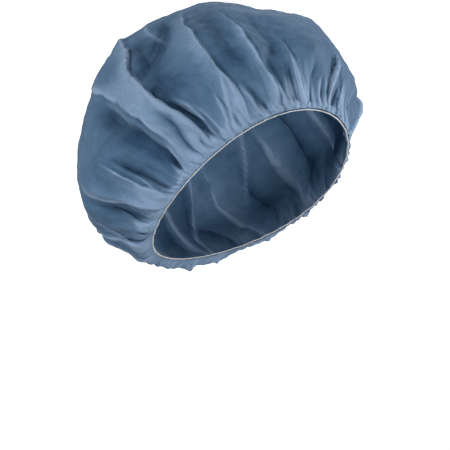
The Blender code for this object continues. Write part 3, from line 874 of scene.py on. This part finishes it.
def thread_material(name, light, dark, scale):
    """White elastic yarn or thread, with fine grooves."""
    material, nodes, links, shader = new_material(name)
    place = nodes.new("ShaderNodeTexCoord").outputs["Object"]
    grain = add_noise(nodes, links, place, {"Scale": scale})
    links.new(add_ramp(nodes, links, grain, ((0.0, dark), (1.0, light))), shader.inputs["Base Color"])
    set_inputs(shader, {"Roughness": 0.6, "Sheen Weight": 0.2})
    grooves = add_bump(nodes, links, grain, 0.3, 0.0001)
    links.new(grooves.outputs["Normal"], shader.inputs["Normal"])
    return material


def stage_material():
    """White studio paper."""
    material, _, _, shader = new_material("white_paper")
    set_inputs(shader, {"Base Color": (0.9, 0.9, 0.9, 1.0), "Roughness": 0.9})
    set_inputs(shader, {"Emission Color": (1.0, 1.0, 1.0, 1.0), "Emission Strength": 0.95})
    return material


# Studio paper: a floor well below the cap, which curves up into a wall all round. The profile holds radius
# and height over the floor
FLOOR_Z = -0.32
PAPER_PROFILE = ((2.6, 0.0), (3.1, 0.08), (3.5, 0.35), (3.75, 0.80), (3.85, 1.4), (3.85, 4.5))
PAPER_SIDES = 96


def build_stage():
    """The pale floor and wall. They light nothing themselves, so that the cap keeps its shade."""
    paper = bmesh.new()
    turns = np.arange(PAPER_SIDES) * 2 * math.pi / PAPER_SIDES
    previous = None
    for radius, height in PAPER_PROFILE:
        level = FLOOR_Z + height
        ring = [paper.verts.new((radius * math.cos(turn), radius * math.sin(turn), level)) for turn in turns]
        if previous:
            for i in range(PAPER_SIDES):
                j = (i + 1) % PAPER_SIDES
                paper.faces.new((previous[i], previous[j], ring[j], ring[i]))
        else:
            paper.faces.new(ring)
        previous = ring
    mesh = bpy.data.meshes.new("studio_paper")
    paper.to_mesh(mesh)
    paper.free()
    mesh.shade_smooth()
    stage = bpy.data.objects.new("studio_paper", mesh)
    stage.data.materials.append(stage_material())
    stage.visible_diffuse = False
    stage.visible_glossy = False
    stage.visible_shadow = False
    bpy.context.scene.collection.objects.link(stage)


# Lights, each pointed at LIT_PLACE. The offset from it runs to the right, up and back to the photo's camera
LIT_PLACE = Vector((0.0, 0.02, 0.03))
LIGHTS = (
    # name, size, watts, offset
    ("key_softbox", (0.20, 0.20), 13.0, (-1.15, 0.85, 0.65)),
    ("low_front_softbox", (0.60, 0.60), 13.0, (0.10, -1.00, 1.20)),
    ("left_softbox", (0.60, 0.60), 4.6, (-1.40, 0.10, 0.35)),
    ("front_softbox", (0.60, 0.60), 8.5, (0.90, 0.10, 1.25)),
    ("right_back_softbox", (0.40, 0.80), 20.0, (1.35, 0.45, -0.35)),
)
WORLD_STRENGTH = 0.32


def view_axes():
    """Right, up and back of the photo's camera."""
    right = Vector((math.cos(VIEW_AZIMUTH), math.sin(VIEW_AZIMUTH), 0.0))
    back = Vector((math.sin(VIEW_AZIMUTH), -math.cos(VIEW_AZIMUTH), 0.0))
    return right, Vector((0.0, 0.0, 1.0)), back


def add_light(name, size, energy, offset):
    """A soft light of the list."""
    right, up, back = view_axes()
    place = LIT_PLACE + right * offset[0] + up * offset[1] + back * offset[2]
    lamp = bpy.data.lights.new(name, "AREA")
    lamp.shape = "RECTANGLE"
    lamp.size, lamp.size_y = size
    lamp.energy = energy
    light = bpy.data.objects.new(name, lamp)
    light.location = place
    light.rotation_euler = (LIT_PLACE - place).to_track_quat("-Z", "Y").to_euler()
    bpy.context.scene.collection.objects.link(light)


def add_camera():
    """The photo's view."""
    right, up, back = view_axes()
    centre = 0.5 * PIXELS
    aim = right * ((centre - ORIGIN_PIXEL[0]) / PIXELS_PER_METRE)
    aim = aim + up * ((ORIGIN_PIXEL[1] - centre) / PIXELS_PER_METRE)
    lens = bpy.data.cameras.new("photo_view")
    lens.sensor_width = SENSOR_MM
    lens.lens = SENSOR_MM * PIXELS_PER_METRE * CAMERA_DISTANCE / PIXELS
    camera = bpy.data.objects.new("photo_view", lens)
    camera.location = aim + back * CAMERA_DISTANCE
    camera.rotation_euler = back.to_track_quat("Z", "Y").to_euler()
    bpy.context.scene.collection.objects.link(camera)
    bpy.context.scene.camera = camera


def set_world():
    """Even white surroundings, weak enough to leave the folds their shade."""
    world = bpy.data.worlds.new("studio")
    world.use_nodes = True
    surroundings = world.node_tree.nodes["Background"]
    set_inputs(surroundings, {"Color": (1.0, 1.0, 1.0, 1.0), "Strength": WORLD_STRENGTH})
    bpy.context.scene.world = world
    bpy.context.scene.view_settings.view_transform = "Standard"


add_camera()
build_stage()
set_world()
for light_row in LIGHTS:
    add_light(*light_row)

cloth_piece = build_cloth()
cloth_piece.data.materials.append(cloth_material())
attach(cloth_piece, "root")
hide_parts("crown")

elastic_piece = build_elastic()
elastic_piece.data.materials.append(
    thread_material("white_elastic", (0.88, 0.87, 0.85), (0.66, 0.65, 0.64), 900.0)
)
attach(elastic_piece, "root")
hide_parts("elastic_band")

stitch_piece = build_stitches()
stitch_piece.data.materials.append(
    thread_material("white_thread", (0.80, 0.82, 0.85), (0.60, 0.63, 0.68), 2500.0)
)
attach(stitch_piece, "root")
